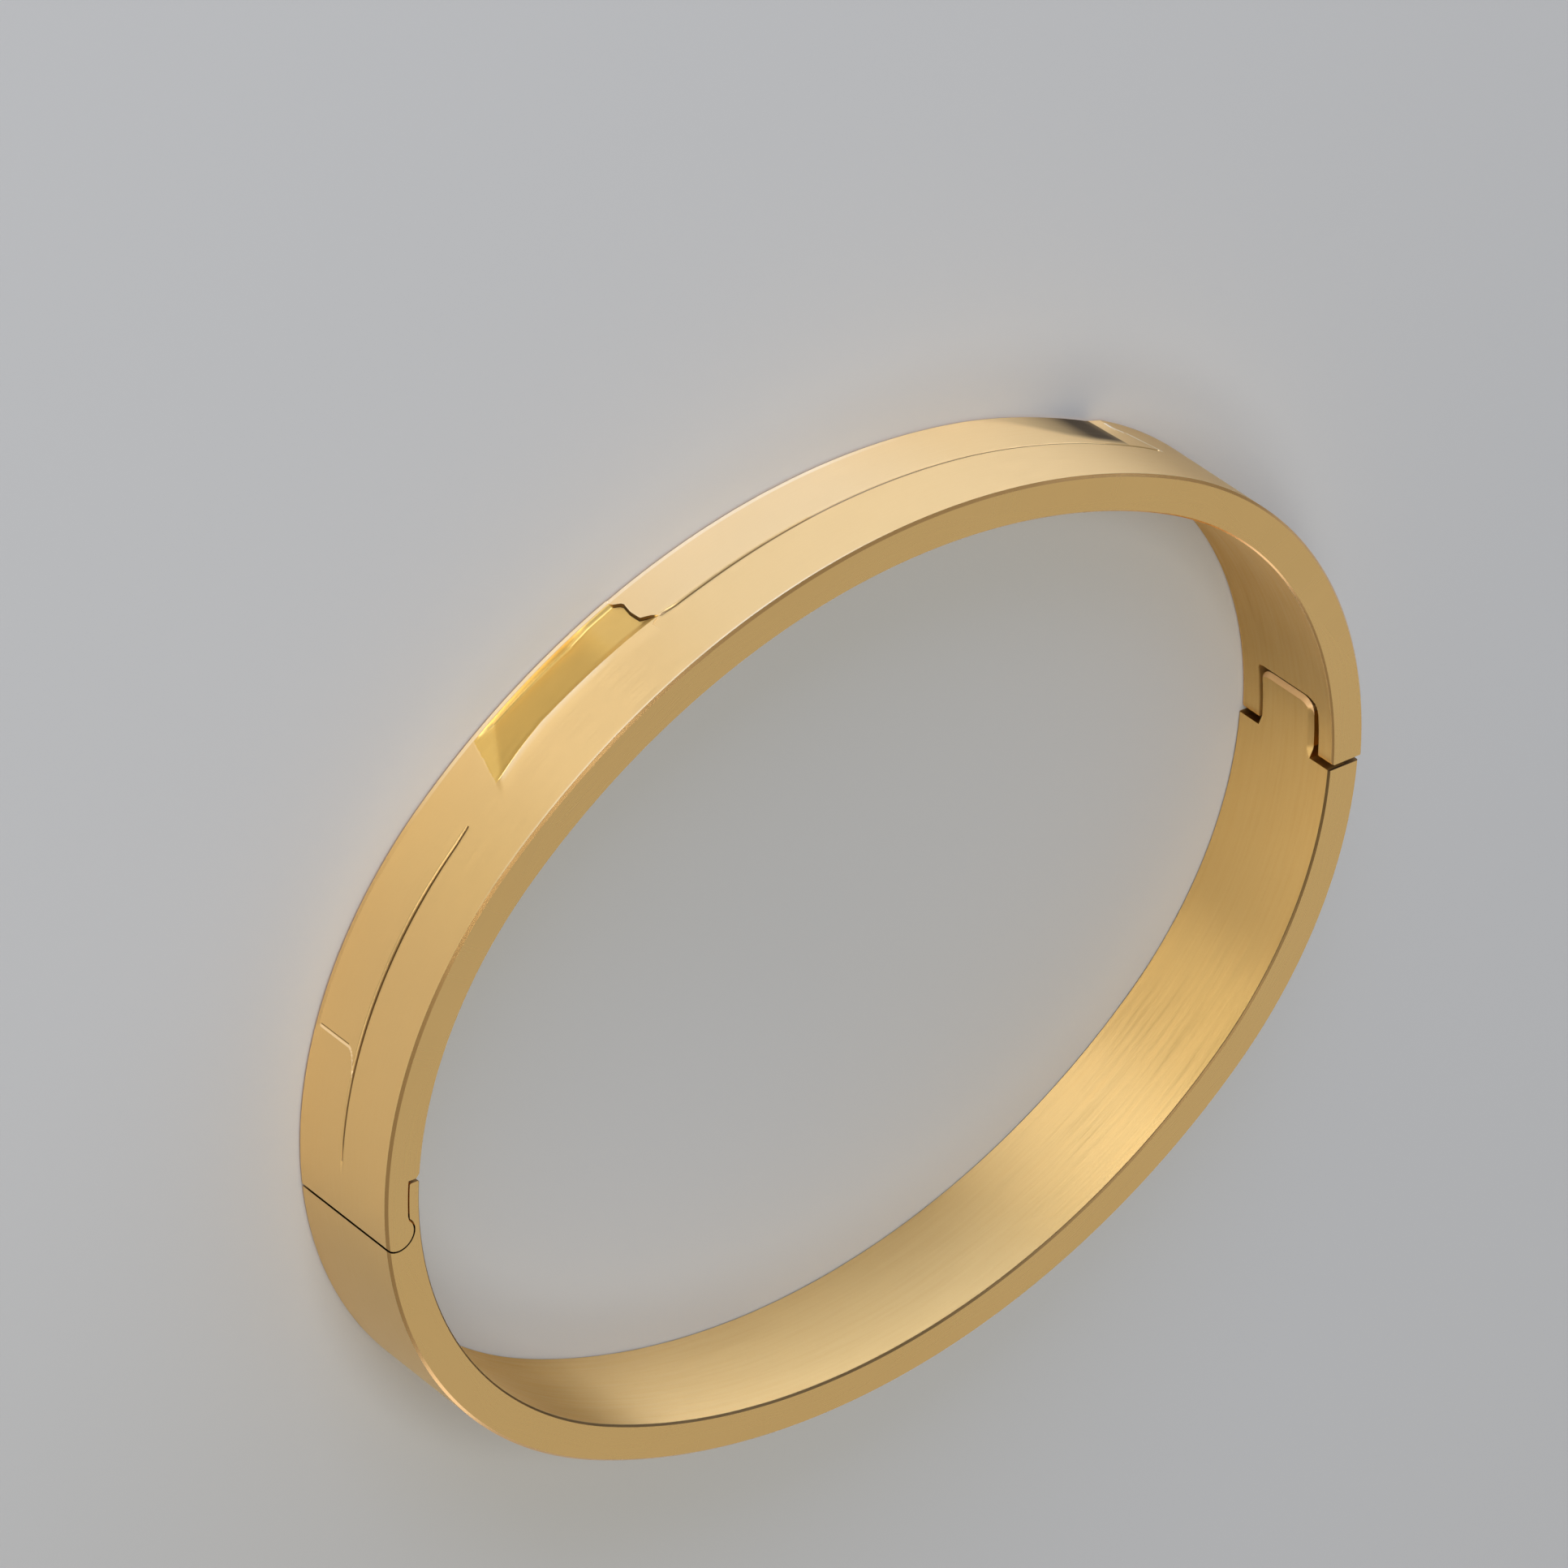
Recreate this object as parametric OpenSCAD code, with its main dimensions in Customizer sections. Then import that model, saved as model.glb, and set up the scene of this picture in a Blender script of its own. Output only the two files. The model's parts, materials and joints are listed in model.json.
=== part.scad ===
/* [Band] */
// Outer length of the oval, from hinge end to clasp end
bangle_len = 64.2; // [58:0.1:72]
// Outer width of the oval
bangle_wid = 53.2; // [48:0.1:57]
// Angle at which the end arcs hand over to the side arcs
join_a = 55; // [50:0.5:60]
// Thickness of the band
band_t = 2.1; // [1.9:0.05:2.6]
// Width of the band, which is its height when it lies flat
band_w = 7.3; // [6.5:0.1:9]
// Chamfer on the long edges
edge_c = 0.15; // [0.05:0.05:0.25]

/* [Lanes] */
// Width of the plain near lane, from the top edge down to the groove
lane_w = 3.75; // [3.4:0.05:4]
// Width of the fine groove between the lanes
groove_w = 0.16; // [0.1:0.02:0.3]
// Depth of the fine groove
groove_d = 0.14; // [0.08:0.02:0.3]
// Thin rim that stays at the lower edge below the pocket
rim_w = 0.35; // [0.25:0.05:0.6]
// Angle round the side arc at which the pocket starts
pocket_from = 119.5; // [117:0.5:122]
// Angle round the side arc of the step that ends the pocket
pocket_to = 103.2; // [100:0.2:106]
// Depth of the pocket at its step
pocket_d = 0.5; // [0.3:0.05:0.6]
// Depth of the pocket where it starts
pocket_d0 = 0.3; // [0.15:0.05:0.4]
// Angle at which the turned-down facet starts, at the lower edge
facet_from = 76; // [72:1:80]
// Angle of the line that ends the facet
facet_to = 56.5; // [56:0.5:60]
// Depth of the facet at the lower edge, where it ends
facet_d = 0.4; // [0.2:0.05:0.5]
// Height of the raised strip over the rest of the lane
strip_h = 0.1; // [0.05:0.01:0.2]
// Angle round the end arc at which the raised strip ends
strip_to = 154.2; // [150:0.2:158]
// Angle round the end arc at which the groove ends
groove_to = 169; // [160:0.5:171]

/* [Hinge] */
// Height of the hinge pin over the long axis
hinge_y = 1.75; // [1.4:0.05:2.2]
// Depth of the pin's axis below the outer face
pin_in = 0.75; // [0.7:0.05:0.85]
// Diameter of the hidden hinge pin
pin_d = 0.6; // [0.5:0.05:0.6]
// Length of the hidden hinge pin
pin_l = 6; // [5:0.1:6.4]
// Radial clearance of the pin in its bores
pin_gap = 0.03; // [0.02:0.01:0.05]
// Thickness of the outer skin that laps over the leaf
skin_t = 1.35; // [1.3:0.05:1.45]
// Radius of the rounded end of the skin, about the pin
nose_r = 0.9; // [0.85:0.01:0.95]
// Gap between the two halves at the hinge
hinge_gap = 0.1; // [0.08:0.01:0.15]
// Angle round the end arc at which the leaf ends
leaf_to = 168.5; // [167:0.1:170]
// Gap between the end of the leaf and the step that it faces, in degrees
leaf_end_gap = 0.5; // [0.4:0.1:1]
// Outer radius of the knuckle round the pin
knuckle_r = 0.48; // [0.45:0.01:0.5]
// Width of the knuckle, along the pin
knuckle_w = 2.4; // [1.6:0.1:3]
// Clearance round the knuckle in its pocket
knuckle_gap = 0.08; // [0.05:0.01:0.1]
// Furthest opening of the hinge
open_a = 60; // [45:1:60]

/* [Clasp] */
// Angle of the shoulder that ends the lower half, below the long axis
clasp_a = 10.9; // [9:0.1:13]
// Gap between the shoulder and the two cheeks, in degrees
cheek_gap = 0.7; // [0.5:0.1:1.2]
// Amount by which the upper half springs outwards at its clasp end
spring_out = 0.2; // [0.05:0.05:0.3]
// Thickness of the skin over the slot
slot_skin = 0.6; // [0.5:0.05:0.8]
// Angle at which the slot ends, below the long axis
slot_a = 0.3; // [0:0.1:1]
// Width of the tongue
tongue_w = 4.1; // [3.4:0.1:4.4]
// Gap between the tongue and each cheek
tongue_side = 0.5; // [0.3:0.05:0.6]
// Gap between the tongue and the skin over it
tongue_over = 0.3; // [0.25:0.05:0.4]
// Gap between the tip of the tongue and the end of the slot, in degrees
tongue_tip = 1.3; // [0.8:0.1:2]
// Corner radius of the tongue
tongue_r = 0.8; // [0.4:0.1:1.2]
// Chamfer round the inner face of the tongue
tongue_c = 0.2; // [0.1:0.05:0.3]

/* [Hidden] */
$fn = 96;
half_len = bangle_len / 2;
half_wid = bangle_wid / 2;
// Distance of the end arcs' centres from the middle, and of the side arcs'
end_x = (half_len - half_wid) / (1 - (1 - sin(join_a)) / cos(join_a));
side_y = end_x * tan(join_a);
end_r = half_len - end_x;
side_r = half_wid + side_y;
groove_z = band_w - lane_w;
// What the radius of the sprung end arc has over the plain one
spring_r = spring_out / (1 - cos(join_a + clasp_a));
// Pin's place on the left end arc
pin_r = end_r - pin_in;
pin_a = 180 - asin(hinge_y / pin_r);
pin_x = -end_x + pin_r * cos(pin_a);
// A margin that only lets cutters run past the metal
past = 1;
// Amount by which the end discs stand proud of the side arcs where they join
join_over = 0.02;
// Degrees by which a cutter or a tongue's root runs past the end of an arc
lap_in = 4;
far = bangle_len * 2;

// Rectangle in a section, between two radii and two heights
function block(r0, r1, z0, z1) = [[r0, z0], [r1, z0], [r1, z1], [r0, z1]];

// Point at an angle and a distance from another
function polar(p, a, r) = [p[0] + r * cos(a), p[1] + r * sin(a)];

// Centre of the right end arc of the upper half, which springs out at the clasp
sprung_c = [end_x - spring_r * cos(join_a), -spring_r * sin(join_a)];

// What turns an angle about the plain centre into one about the sprung centre, near the clasp
sprung_turn = asin(spring_r * sin(join_a) / end_r);

module sector(a0, a1, section) {
    rotate([0, 0, a0]) rotate_extrude(angle = a1 - a0) polygon(section);
}

module left_end(a0, a1, section) {
    translate([-end_x, 0, 0]) sector(a0, a1, section);
}

module right_end(a0, a1, section) {
    translate([end_x, 0, 0]) sector(a0, a1, section);
}

module top_side(a0, a1, section) {
    translate([0, -side_y, 0]) sector(a0, a1, section);
}

// Solid disc with chamfered edges
module disc(x, y, r) {
    translate([x, y, 0]) rotate_extrude() polygon([
        [0, 0], [r - edge_c, 0], [r, edge_c], [r, band_w - edge_c], [r - edge_c, band_w], [0, band_w]]);
}

// Cutter for the opening, which chamfers both of its edges
module plug(x, y, r) {
    flare = r + edge_c + past;
    translate([x, y, 0]) rotate_extrude() polygon([
        [0, -past], [flare, -past], [r, edge_c], [r, band_w - edge_c], [flare, band_w + past],
        [0, band_w + past]]);
}

// Block between the joins of the side arcs and the end arcs, whose end radius is given
module between_joins(r, z0, z1) {
    reach = end_x + r * cos(join_a);
    translate([-reach, -half_wid - past, z0]) cube([reach * 2, bangle_wid + past * 2, z1 - z0]);
}

// Band whose right end has a centre and what its radius has over the plain one
module band(right_c, over) {
    inner_r = end_r - band_t;
    difference() {
        intersection() {
            disc(0, -side_y, side_r);
            disc(0, side_y, side_r);
            union() {
                between_joins(end_r, 0, band_w);
                disc(-end_x, 0, end_r + join_over);
                disc(right_c[0], right_c[1], end_r + over + join_over);
            }
        }
        intersection() {
            plug(0, -side_y, side_r - band_t);
            plug(0, side_y, side_r - band_t);
            union() {
                between_joins(inner_r, -past, band_w + past);
                plug(-end_x, 0, inner_r + join_over);
                plug(right_c[0], right_c[1], inner_r + over + join_over);
            }
        }
    }
}

// Fine groove: a notch of triangular section
function groove_section(r) = [
    [r - groove_d, groove_z], [r + past, groove_z - groove_w * (groove_d + past) / groove_d / 2],
    [r + past, groove_z + groove_w * (groove_d + past) / groove_d / 2]];

module groove() {
    left_end(180 - join_a, groove_to, groove_section(end_r));
    top_side(join_a, pocket_to, groove_section(side_r));
}

// Scooped pocket in the lower lane: a round trough that deepens towards its step
module pocket() {
    half_w = (groove_z - rim_w) / 2;
    trough_r = (half_w * half_w + pocket_d * pocket_d) / pocket_d / 2;
    mid_a = (pocket_from + pocket_to) / 2;
    slope = (pocket_d - pocket_d0) / 2 / sin((pocket_from - pocket_to) / 2);
    path_r = side_r + trough_r - (pocket_d + pocket_d0) / 2;
    intersection() {
        top_side(pocket_to, pocket_from, block(side_r - past, side_r + past, 0, groove_z));
        translate([-slope * sin(mid_a), -side_y + slope * cos(mid_a), rim_w + half_w])
            rotate([0, 0, pocket_to - 2]) rotate_extrude(angle = pocket_from - pocket_to + 4)
                translate([path_r, 0]) circle(r = trough_r);
    }
}

// Facet that turns the lower lane down towards its edge, deepest where it ends
module facet() {
    mid_a = (facet_from + facet_to) / 2;
    slope = facet_d / 2 / sin((facet_from - facet_to) / 2);
    translate([-slope * sin(mid_a), slope * cos(mid_a) - side_y, 0])
        sector(facet_to, facet_from + 3, [
            [side_r - facet_d / 2 - past * facet_d / groove_z, -past],
            [side_r + past * 2, -past], [side_r + past * 2, groove_z],
            [side_r + facet_d / 2, groove_z]]);
}

// Raised strip on the lower lane, with sloping sides
module strip() {
    left_end(180 - join_a, strip_to, [
        [end_r - past / 2, edge_c + strip_h], [end_r, edge_c + strip_h],
        [end_r + strip_h, edge_c + strip_h * 2],
        [end_r + strip_h, groove_z - groove_w / 2 - strip_h], [end_r, groove_z - groove_w / 2],
        [end_r - past / 2, groove_z - groove_w / 2]]);
}

module at_pin() {
    translate([pin_x, hinge_y, 0]) children();
}

// Round bar of a radius about the pin's axis, centred on the band's width
module pin_bar(r, l) {
    at_pin() translate([0, 0, (band_w - l) / 2]) cylinder(r = r, h = l);
}

// Room in the skin for the knuckle and for the arm that carries it, up to the open position
module knuckle_room() {
    room_w = knuckle_w + knuckle_gap * 2;
    room_top = knuckle_r + knuckle_gap * 2;
    reach = band_t;
    pin_bar(knuckle_r + knuckle_gap, room_w);
    at_pin() translate([0, 0, (band_w - room_w) / 2]) linear_extrude(room_w) polygon([
        [0, 0], [reach * sin(open_a) / 4, -reach], [reach, -reach], [reach, room_top],
        [knuckle_gap, room_top]]);
}

module knuckle() {
    pin_bar(knuckle_r, knuckle_w);
    at_pin() translate([0, 0, (band_w - knuckle_w) / 2]) linear_extrude(knuckle_w) polygon([
        [0, -knuckle_r / 4], [nose_r + hinge_gap * 2, -knuckle_r / 4],
        [nose_r + hinge_gap * 2, knuckle_r], [0, knuckle_r]]);
}

module upper_half() {
    cut = polar([end_x, 0], -clasp_a + cheek_gap, far);
    color("goldenrod") difference() {
        union() {
            intersection() {
                band(sprung_c, spring_r);
                translate([0, 0, -past]) linear_extrude(band_w + past * 2)
                    polygon([[end_x, 0], cut, [far, far], [-far, far], [-far, 0]]);
            }
            strip();
        }
        left_end(leaf_to - leaf_end_gap, 190, block(end_r - band_t - past, end_r - skin_t,
            -past, band_w + past));
        difference() {
            left_end(pin_a, 190, block(end_r - band_t - past, end_r + past, -past, band_w + past));
            pin_bar(nose_r, band_w + past * 3);
        }
        groove();
        pocket();
        facet();
        knuckle_room();
        pin_bar(pin_d / 2 + pin_gap, pin_l + pin_gap * 2);
        translate([sprung_c[0], sprung_c[1], 0])
            sector(-clasp_a - lap_in, sprung_turn - slot_a, block(end_r - band_t - past,
                end_r + spring_r - slot_skin, (band_w - tongue_w) / 2 - tongue_side,
                (band_w + tongue_w) / 2 + tongue_side));
    }
}

// Outline of the tongue seen from inside the bangle: height over the long axis, then width
function tongue_outline(r, steps = 6) = let (
    tip = end_r * sin(-slot_a - tongue_tip),
    root = end_r * sin(-clasp_a - lap_in),
    z0 = (band_w - tongue_w) / 2,
    z1 = (band_w + tongue_w) / 2) concat(
        [[root, z1], [root, z0]],
        [for (i = [0 : steps]) polar([tip - r, z0 + r], -90 + 90 * i / steps, r)],
        [for (i = [0 : steps]) polar([tip - r, z1 - r], 90 * i / steps, r)]);

module tongue() {
    over_r = end_r - slot_skin - tongue_over;
    z0 = (band_w - tongue_w) / 2;
    z1 = (band_w + tongue_w) / 2;
    r0 = end_r - band_t;
    intersection() {
        right_end(-clasp_a - 2, -slot_a - tongue_tip, [
            [r0 + tongue_c, z0], [over_r, z0], [over_r, z1], [r0 + tongue_c, z1],
            [r0, z1 - tongue_c], [r0, z0 + tongue_c]]);
        translate([end_x, 0, 0]) rotate([90, 0, 90]) linear_extrude(end_r)
            polygon(tongue_outline(tongue_r));
    }
}

module lower_half() {
    clasp_cut = polar([end_x, 0], -clasp_a, far);
    leaf_cut = polar([-end_x, 0], leaf_to, far);
    color("goldenrod") difference() {
        union() {
            difference() {
                intersection() {
                    band([end_x, 0], 0);
                    translate([0, 0, -past]) linear_extrude(band_w + past * 2) polygon([
                        [end_x, 0], clasp_cut, [far, -far], [-far, -far], leaf_cut, [-end_x, 0]]);
                }
                left_end(leaf_to - lap_in, pin_a, block(end_r - skin_t - hinge_gap, end_r + past,
                    -past, band_w + past));
                pin_bar(nose_r + hinge_gap, band_w + past);
            }
            tongue();
            knuckle();
        }
        pin_bar(pin_d / 2 + pin_gap, knuckle_w + past);
    }
}

module hinge_pin() {
    color("silver") pin_bar(pin_d / 2, pin_l);
}

upper_half();
lower_half();
hinge_pin();
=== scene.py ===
import json
from math import atan2, ceil, cos, degrees, hypot, pi, radians, sin, sqrt, tan
import bmesh
import bpy
from mathutils import Euler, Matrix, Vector


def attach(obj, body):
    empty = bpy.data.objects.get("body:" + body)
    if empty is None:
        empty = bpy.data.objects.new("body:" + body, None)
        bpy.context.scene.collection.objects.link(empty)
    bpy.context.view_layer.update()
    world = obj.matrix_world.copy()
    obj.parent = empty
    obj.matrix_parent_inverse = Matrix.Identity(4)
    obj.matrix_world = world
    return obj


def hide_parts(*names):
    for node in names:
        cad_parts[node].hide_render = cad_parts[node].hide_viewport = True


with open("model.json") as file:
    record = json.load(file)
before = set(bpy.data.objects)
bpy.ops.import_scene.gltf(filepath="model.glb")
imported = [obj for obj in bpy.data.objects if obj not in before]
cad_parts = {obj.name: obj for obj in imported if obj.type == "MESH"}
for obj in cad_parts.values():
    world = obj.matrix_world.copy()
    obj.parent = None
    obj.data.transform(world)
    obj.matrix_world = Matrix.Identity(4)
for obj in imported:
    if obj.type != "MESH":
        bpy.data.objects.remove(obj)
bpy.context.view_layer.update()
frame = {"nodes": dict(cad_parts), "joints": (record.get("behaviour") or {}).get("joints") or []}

# Lengths are millimetres and angles degrees all through, as in the part's source
mm = 0.001
oval = {"length": 64.2, "width": 53.2, "joinAngle": 55, "thickness": 2.1, "height": 7.3,
        "rimWidth": 0.14, "innerRim": 0.09, "innerRimPaintedShade": 0.6}
join = radians(oval["joinAngle"])
endCentre = (oval["length"] - oval["width"]) / 2 / (1 - (1 - sin(join)) / cos(join))
sideCentre = endCentre * tan(join)
endRadius = oval["length"] / 2 - endCentre
sideRadius = oval["width"] / 2 + sideCentre
insideFace = -oval["thickness"]
midHeight = oval["height"] / 2
endDegree = radians(1) * endRadius  # length of one degree round an end arc

# The nose and the recess run between clock angles about the pin; the leaf's tip has two small corners
hinge = {"gap": 0.1, "noseRadius": 0.9, "skin": 1.35, "leafEnd": 168.5, "leafEndGap": 0.5,
         "stepChamfer": 0.25, "noseTurn": (33.6, 228.2), "noseSides": 36,
         "recessTurn": (41.4, 225.6), "recessSides": 34,
         "leafTopBack": 0.15, "leafTopDown": 0.06, "leafFootBack": 0.3, "leafFootUp": 0.12}
pinPlace = [value / mm for value in frame["joints"][0]["pos_m"]]
pinAngle = degrees(atan2(pinPlace[1], pinPlace[0] + endCentre))
pinLift = hypot(pinPlace[0] + endCentre, pinPlace[1]) - endRadius

clasp = {"shoulder": 10.9, "shoulderCorner": 0.05, "cheek": 10.2, "cornerRadius": 0.14, "cornerBow": 0.3,
         "springOut": 0.2, "slotReach": 10, "slotSkin": 0.6, "slotEnd": 1.25, "slotWall": 0.04,
         "slotFarCorner": 0.3, "slotNearCorner": 0.9, "slotLow": 1.4, "slotHigh": 6.1, "slotChamfer": 0.05,
         "tongueTip": 1.6, "tongueCorner": 0.8, "tongueLow": 1.6, "tongueHigh": 5.7, "tongueOver": 0.9,
         "tongueRoot": 0.6, "tongueChamfer": 0.25, "chamferShares": (0.35, 0.7), "tongueFlatSteps": 16}
springRadius = clasp["springOut"] / (1 - cos(join + radians(clasp["shoulder"])))
tongueSteps = clasp["tongueFlatSteps"] + len(clasp["chamferShares"]) + 1

# Steps in degrees between the stations of the side outlines; a fine stretch is from, to and step
outlineSteps = {"outer": 0.5, "skin": 0.6, "inner": 0.8, "plain": 0.7, "slotEnd": [(-3, 0.2, 0.1)],
                "relief": [(48.8, 55.8, 0.125), (55.8, 69, 0.25), (103, 103.5, 0.025), (103.5, 105, 0.25),
                           (107.2, 107.6, 0.1), (116.4, 120.4, 0.12), (153.6, 157.6, 0.07)]}

# What is cut into the decorated half's outer face: angles run round the oval from the clasp to the hinge.
# A plain pair, such as stripRun, is where something starts and where it is full.
lanes = {"rim": 0.4, "warpTop": 5.4,
         "grooveHeight": 3.6, "grooveWidth": 0.2, "grooveDepth": 0.12,
         "grooveRuns": [(49.8, 103.0, 0.4), (124.0, 171.0, 6)],  # from, to, length of fade
         "stripRise": 0.06, "stripRun": (125, 135), "stripEnd": 154.3, "stripBevel": 0.45,
         "stripFarEdge": (0.28, 0.4), "stripNearEdge": (0.035, 0.06),
         "stripTurn": 2.9, "stripTurnFrom": 2.7, "stripTurnRise": 0.8, "stripTurnPower": 2.5,
         "pocketTo": 103.25, "wall": 0.06, "floorBlend": (106.5, 108.5),
         "pocketDepth": [(103, 0.32), (107, 0.34), (113, 0.27), (119, 0.18)],
         "ridgeStart": 118.4, "ridgeSlant": 0.54, "floorStart": 116.1, "floorSlant": 1.09,
         "lip": [(0, -0.04), (0.07, 0.05), (0.2, 0.045), (0.8, 0)],
         "stepSpread": 3,
         "stepShift": [(0.4, 0.7), (0.61, 0.6), (1.0, 0), (1.3, 0.1), (1.79, 0.25), (2.51, 0.2),
                       (2.85, -0.5), (3.2, -0.9), (3.4, 0)],
         "plateauDrop": 0.05, "plateauRun": 0.2, "facetTo": 55.3, "facetDepth": 0.12,
         "facetReach": [(55.3, 1.0), (58.9, 0.92), (60.5, 0.82), (62.5, 0.6), (65, 0.3), (69, 0)],
         "rampEdge": [(0, 53.4), (1.09, 53.2), (1.64, 51.6), (3.01, 49.6), (3.5, 49)]}
# How deep the pocket is across its width, as shares of its depth, by its clasp end and along its floor
bowlEnd = [(0, 0), (0.07, 0.55), (0.15, 0.6), (0.85, 0.6), (1, 0.1)]
bowlFloor = [(0, 0), (0.032, 0.75), (0.063, 0.96), (0.1, 1), (0.9, 0.4), (0.97, 0.22), (1, 0.1)]
# Height of the line between the two lanes, which dips along the pocket
laneLine = [(50, 3.35), (58, 3.55), (66, 3.5), (72, 3.42), (98, 3.4), (101, 3.36), (103.2, 3.17),
            (106, 3.05), (110, 2.98), (114.5, 2.9), (117.3, 3.05), (119.6, 3.24), (123, 3.5), (126, 3.6)]


def alongPairs(pairs, place):
    if place <= pairs[0][0]:
        return pairs[0][1]
    for (start, low), (end, high) in zip(pairs, pairs[1:]):
        if place <= end:
            return low + (high - low) * (place - start) / (end - start)
    return pairs[-1][1]


def share(value, low, high):
    return min(max((value - low) / (high - low), 0), 1)


# Rises from start to full, and falls again from last to end
def between(value, start, full, last, end):
    return share(value, start, full) * share(end - value, 0, end - last)


# Length along the outer face from the clasp end of the long axis to an angle
def runOf(angle):
    turn = radians(abs(angle))
    onEnd = min(turn, join) + max(turn - pi + join, 0)
    onSide = min(max(turn - join, 0), pi - 2 * join)
    return (onEnd * endRadius + onSide * sideRadius) * (1 if angle >= 0 else -1)


# Places between two angles, with finer steps in the named stretches
def stations(start, end, step, fine=()):
    places = {round(start, 4), round(end, 4)}
    low, high = min(start, end), max(start, end)
    for first, last, gap in [(low, high, step), *fine]:
        count = max(1, ceil((last - first) / gap))
        places.update(round(first + (last - first) * n / count, 4) for n in range(count + 1))
    kept = sorted(place for place in places if low <= place <= high)
    return kept if start < end else kept[::-1]


# Arc about the hinge pin, from one clock angle to another: 0 points outwards, 90 towards larger angles
def aboutPin(radius, turn, sides):
    points = []
    outward, onward = radians(pinAngle), radians(pinAngle + 90)
    pinRadius = endRadius + pinLift
    centre = (-endCentre + pinRadius * cos(outward), pinRadius * sin(outward))
    for n in range(sides + 1):
        clock = radians(turn[0] + (turn[1] - turn[0]) * n / sides)
        x = centre[0] + radius * (cos(clock) * cos(outward) + sin(clock) * cos(onward))
        y = centre[1] + radius * (cos(clock) * sin(outward) + sin(clock) * sin(onward))
        angle = degrees(atan2(y, x + endCentre)) % 360
        points.append((angle, hypot(x + endCentre, y) - endRadius))
    return points


# The side outlines are lists of (angle, lift over the outer face, name of the face that follows)
def upperOutline():
    corner, bow, cheek = clasp["cornerRadius"], clasp["cornerBow"], -clasp["cheek"]
    bend = corner / endDegree
    nose = aboutPin(hinge["noseRadius"], hinge["noseTurn"], hinge["noseSides"])
    nose[0] = (nose[0][0], 0)
    nose[-1] = (nose[-1][0], -hinge["skin"])
    stepAt = hinge["leafEnd"] - hinge["leafEndGap"]
    chamfer = hinge["stepChamfer"]
    outside = stations(cheek + bend, nose[0][0], outlineSteps["outer"], outlineSteps["relief"])
    underSkin = stations(nose[-1][0], stepAt, outlineSteps["skin"])
    inside = stations(stepAt - chamfer / endDegree, cheek + bend, outlineSteps["inner"],
                      outlineSteps["slotEnd"])
    outline = [(cheek, -corner, "cap"), (cheek + bend * bow, -corner * bow, "cap")]
    outline += [(angle, 0, "outer") for angle in outside[:-1]]
    outline += [(angle, lift, "nose") for angle, lift in nose[:-1]]
    outline += [(angle, -hinge["skin"], "skin") for angle in underSkin]
    # The step's chamfer takes the edge gold, a painted highlight
    outline += [(stepAt, insideFace + chamfer, "edge")]
    outline += [(angle, insideFace, "inner") for angle in inside]
    outline += [(cheek + bend * bow, insideFace + corner * bow, "cap"),
                (cheek, insideFace + corner, "cap"), (cheek, -clasp["slotSkin"], "cap")]
    return outline


# The plain half is drawn as its mirror image, so its angles too grow from the clasp to the hinge
def lowerOutline():
    shoulder, corner = clasp["shoulder"], clasp["shoulderCorner"]
    recess = aboutPin(hinge["noseRadius"] + hinge["gap"], hinge["recessTurn"], hinge["recessSides"])
    recess = [(360 - angle, lift) for angle, lift in recess]
    leafTop = -hinge["skin"] - hinge["gap"]
    recess[0] = (recess[0][0], 0)
    recess[-1] = (recess[-1][0], leafTop)
    tip = 360 - hinge["leafEnd"]
    step = outlineSteps["plain"]
    outside = stations(shoulder + corner / endDegree, recess[0][0], step)
    onLeaf = stations(recess[-1][0], tip - hinge["leafTopBack"], step)
    inside = stations(tip - hinge["leafFootBack"], shoulder, step)
    outline = [(shoulder, -corner, "cap")]
    outline += [(angle, 0, "outer") for angle in outside[:-1]]
    outline += [(angle, lift, "nose") for angle, lift in recess[:-1]]
    outline += [(angle, leafTop, "skin") for angle in onLeaf]
    outline += [(tip, leafTop - hinge["leafTopDown"], "cap")]
    outline += [(tip, insideFace + hinge["leafFootUp"], "cap")]
    outline += [(angle, insideFace, "inner") for angle in inside]
    outline += [(shoulder, -clasp["tongueOver"], "cap")]
    return outline


def lineHeight(angle):
    return alongPairs(laneLine, angle)


# Where the pocket begins at a height: the ridge at the face, and the floor at its foot
def pocketStart(height):
    ridge = lanes["ridgeStart"] + lanes["ridgeSlant"] * height
    return ridge, lanes["floorStart"] + lanes["floorSlant"] * height


# Angle where the raised strip ends, which turns on towards the hinge beside the groove
def stripEnd(height):
    turned = max(0, (height - lanes["stripTurnFrom"]) / lanes["stripTurnRise"])
    return lanes["stripEnd"] + lanes["stripTurn"] * turned ** lanes["stripTurnPower"]


def grooveShare(angle):
    for first, last, fade in lanes["grooveRuns"]:
        if first <= angle <= last:
            return share(last - angle, 0, fade)
    return 0


# Lift of the far lane: the raised strip, the pocket, and the plateau with its facet
def farLaneLift(angle, height, line, inPocket):
    onStrip = share(angle, *lanes["stripRun"]) * share(stripEnd(height) - angle, 0, lanes["stripBevel"])
    onStrip *= share(height, *lanes["stripFarEdge"]) * share(line - height, *lanes["stripNearEdge"])
    lift = lanes["stripRise"] * onStrip
    if height > lanes["rim"]:
        place = share(height, lanes["rim"], line)
        onFloor = share(angle, *lanes["floorBlend"])
        bowl = alongPairs(bowlEnd, place) * (1 - onFloor) + alongPairs(bowlFloor, place) * onFloor
        lift -= inPocket * alongPairs(lanes["pocketDepth"], angle) * bowl
    across = height / line
    edge = alongPairs(lanes["rampEdge"], height)
    onPlateau = share(angle, edge, lanes["facetTo"] + lanes["plateauRun"])
    onPlateau *= share(lanes["pocketTo"] - angle, 0, lanes["wall"])
    slide = max(0, alongPairs(lanes["facetReach"], angle) - across)
    return lift - onPlateau * (lanes["plateauDrop"] * (1 - across) + lanes["facetDepth"] * slide)


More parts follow.
